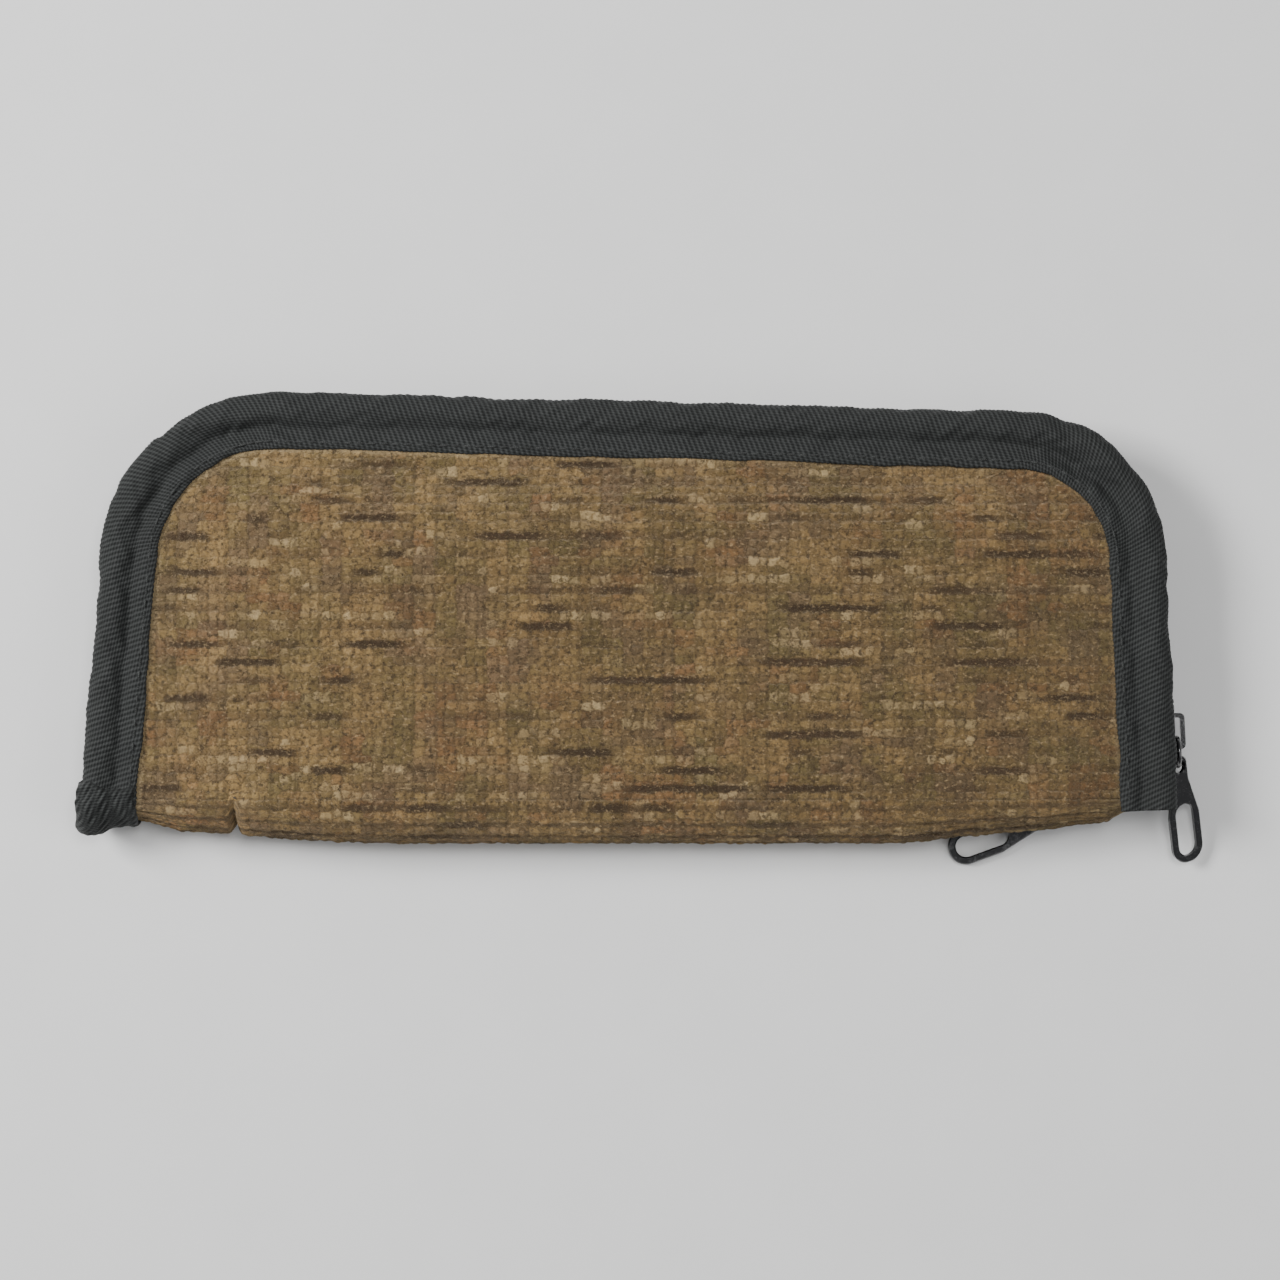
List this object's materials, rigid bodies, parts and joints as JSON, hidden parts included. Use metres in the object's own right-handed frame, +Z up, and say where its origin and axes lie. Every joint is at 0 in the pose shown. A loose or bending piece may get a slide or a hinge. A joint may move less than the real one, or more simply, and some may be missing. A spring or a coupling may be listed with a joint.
{
  "type": "zipped fabric case",
  "caption": "Small padded clamshell case in brown chenille with black binding, a fold along one side and a two-slider coil zipper round the other three.",
  "frame": {"origin": "centre of the flat underside of the closed case, halfway along its length and its width without the zipper pulls", "axes": "+X along the length, towards the end where the sliders park; +Y across the width, away from the fold; +Z up, through the thickness"},
  "size_m": [0.2459, 0.1036, 0.02],
  "materials": {
    "chenille": "brown chenille tapestry in rows of soft tufts, with cream, olive and rust flecks and dark brown dashes",
    "foam": "soft padding foam, unfinished",
    "lining": "smooth dark brown plain-weave lining",
    "binding_tape": "charcoal black twill tape, matte, puckered",
    "zipper_tape": "black woven zipper tape",
    "zipper_coil": "black nylon coil",
    "black_enamel": "glossy black enamel on die-cast metal"
  },
  "bodies": {
    "back": {"back_binding": "binding_tape", "back_foam": "foam", "back_lining": "lining", "back_outer_fabric": "chenille", "back_zipper_coil": "zipper_coil", "back_zipper_tape": "zipper_tape", "fold_foam": "foam", "fold_lining": "lining", "fold_outer_fabric": "chenille", "left_end_binding": "binding_tape", "zipper_corner_tape": "zipper_tape", "zipper_left_stop": "zipper_coil", "zipper_right_stop": "zipper_coil", "zipper_tail_coil_lower": "zipper_coil", "zipper_tail_coil_upper": "zipper_coil", "zipper_tail_tape": "zipper_tape"},
    "front": {"front_binding": "binding_tape", "front_foam": "foam", "front_lining": "lining", "front_outer_fabric": "chenille", "front_zipper_coil": "zipper_coil", "front_zipper_tape": "zipper_tape"},
    "slider_a": {"slider_a_body": "black_enamel"},
    "slider_a_link": {"slider_a_link": "black_enamel"},
    "slider_a_pull": {"slider_a_pull": "black_enamel"},
    "slider_b": {"slider_b_body": "black_enamel"},
    "slider_b_link": {"slider_b_link": "black_enamel"},
    "slider_b_pull": {"slider_b_pull": "black_enamel"}
  },
  "joints": [
    {"name": "case_open", "type": "hinge", "parent": "back", "child": "front", "pos_m": [0, -0.0495, 0.01], "axis": [1, 0, 0], "range_deg": [0, 180], "deforming": ["fold_outer_fabric", "fold_foam", "fold_lining", "left_end_binding"]},
    {"name": "slider_a_slide", "type": "slide", "parent": "back", "child": "slider_a", "axis": [-0.047, 0.9989, 0], "range_m": [0, 0.008]},
    {"name": "slider_a_link_swing", "type": "hinge", "parent": "slider_a", "child": "slider_a_link", "pos_m": [0.12051, -0.02635, 0.01], "axis": [0, 0, 1], "range_deg": [0, 120]},
    {"name": "slider_a_pull_lift", "type": "hinge", "parent": "slider_a_link", "child": "slider_a_pull", "pos_m": [0.1208, -0.03254, 0.01], "axis": [-0.9885, -0.1512, 0], "range_deg": [0, 28]},
    {"name": "slider_b_slide", "type": "slide", "parent": "back", "child": "slider_b", "axis": [0.9877, 0.1564, 0], "range_m": [0, 0.005]},
    {"name": "slider_b_link_swing", "type": "hinge", "parent": "slider_b", "child": "slider_b_link", "pos_m": [0.09817, -0.04331, 0.0054], "axis": [0, 0, -1], "range_deg": [-30, 0]},
    {"name": "slider_b_pull_swing", "type": "hinge", "parent": "slider_b_link", "child": "slider_b_pull", "pos_m": [0.09257, -0.0442, 0.00288], "axis": [0.0654, 0.0238, -0.9976], "range_deg": [-45, 0]}
  ]
}
